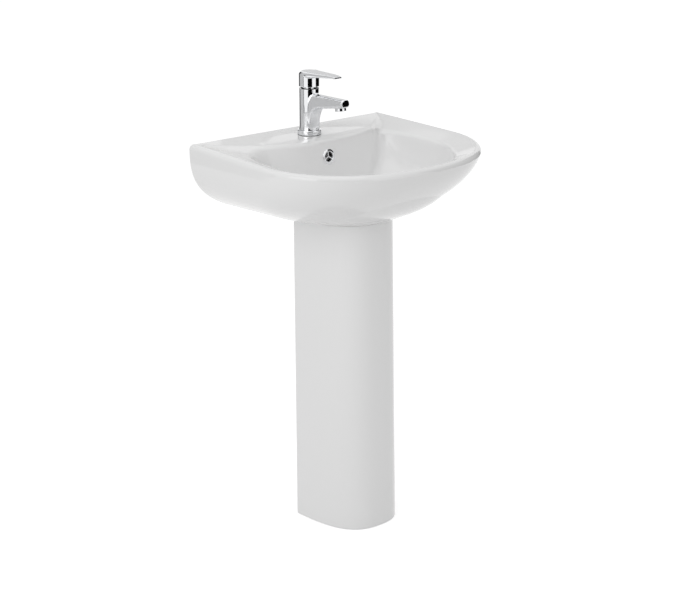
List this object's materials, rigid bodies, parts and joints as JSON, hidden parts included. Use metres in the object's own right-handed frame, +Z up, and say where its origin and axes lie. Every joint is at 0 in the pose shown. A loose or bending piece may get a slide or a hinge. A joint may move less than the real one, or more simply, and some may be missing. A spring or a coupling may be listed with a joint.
{
  "type": "pedestal sink",
  "caption": "Free-standing pedestal sink: D-shaped china basin on a hollow column, with a single-lever tap, a click waste and a bottle trap.",
  "frame": {"origin": "on the floor, under the middle of the basin's bounding box", "axes": "+X to the right of someone facing the wall; +Y towards the wall; +Z up"},
  "size_m": [0.5504, 0.4498, 0.9845],
  "materials": {
    "china": "white gloss glaze",
    "chrome": "polished",
    "silicone": "white, satin",
    "rubber": "black, matt",
    "steel": "zinc plated",
    "brass": "machined",
    "technical_ceramic": "lapped",
    "plastic": "moulded",
    "trap_plastic": "white, moulded"
  },
  "bodies": {
    "sink": {"basin": "china", "pedestal": "china", "overflow_ring": "chrome", "tap_base_ring": "chrome", "tap_body": "chrome", "aerator_housing": "chrome", "cartridge_nut": "chrome", "waste_body": "chrome", "bedding_strip": "silicone", "tap_gasket": "rubber", "horseshoe_gasket": "rubber", "aerator_seal": "rubber", "cartridge_seals": "rubber", "waste_top_gasket": "rubber", "waste_bottom_gasket": "rubber", "trap_inlet_washer": "rubber", "trap_cup_seal": "rubber", "trap_outlet_washer": "rubber", "tap_stud": "steel", "horseshoe_plate": "steel", "click_spring": "steel", "stud_nut": "brass", "clicker_housing": "brass", "fixed_disc": "technical_ceramic", "aerator_insert": "plastic", "cartridge_housing": "plastic", "waste_backnut": "trap_plastic", "trap_body": "trap_plastic", "trap_cup": "trap_plastic", "trap_inlet_nut": "trap_plastic", "trap_outlet_nut": "trap_plastic"},
    "lever_carrier": {"cartridge_carrier": "plastic", "pivot_pin": "steel"},
    "lever": {"lever_handle": "chrome", "spindle": "brass", "lever_grub_screw": "steel", "lever_plug": "chrome"},
    "disc": {"moving_disc": "technical_ceramic"},
    "plug": {"plug_cap": "chrome", "plug_seal": "rubber", "clicker_pin": "brass"}
  },
  "joints": [
    {"name": "lever_swivel", "type": "hinge", "parent": "sink", "child": "lever_carrier", "pos_m": [0, 0.155, 0.958], "axis": [0, 0, 1], "range_deg": [-50, 50]},
    {"name": "lever_lift", "type": "hinge", "parent": "lever_carrier", "child": "lever", "pos_m": [0, 0.155, 0.958], "axis": [-1, 0, 0], "range_deg": [0, 25]},
    {"name": "disc_slide", "type": "slide", "parent": "lever_carrier", "child": "disc", "axis": [0, -1, 0], "range_m": [0, 0.004]},
    {"name": "plug_press", "type": "slide", "parent": "sink", "child": "plug", "axis": [0, 0, -1], "range_m": [0, 0.008], "stiffness_N_per_m": 300, "springref_m": -0.01, "deforming": ["click_spring"]}
  ],
  "couplings": [
    {"joint": "disc_slide", "follows": "lever_lift", "m_per_rad": 0.009}
  ]
}
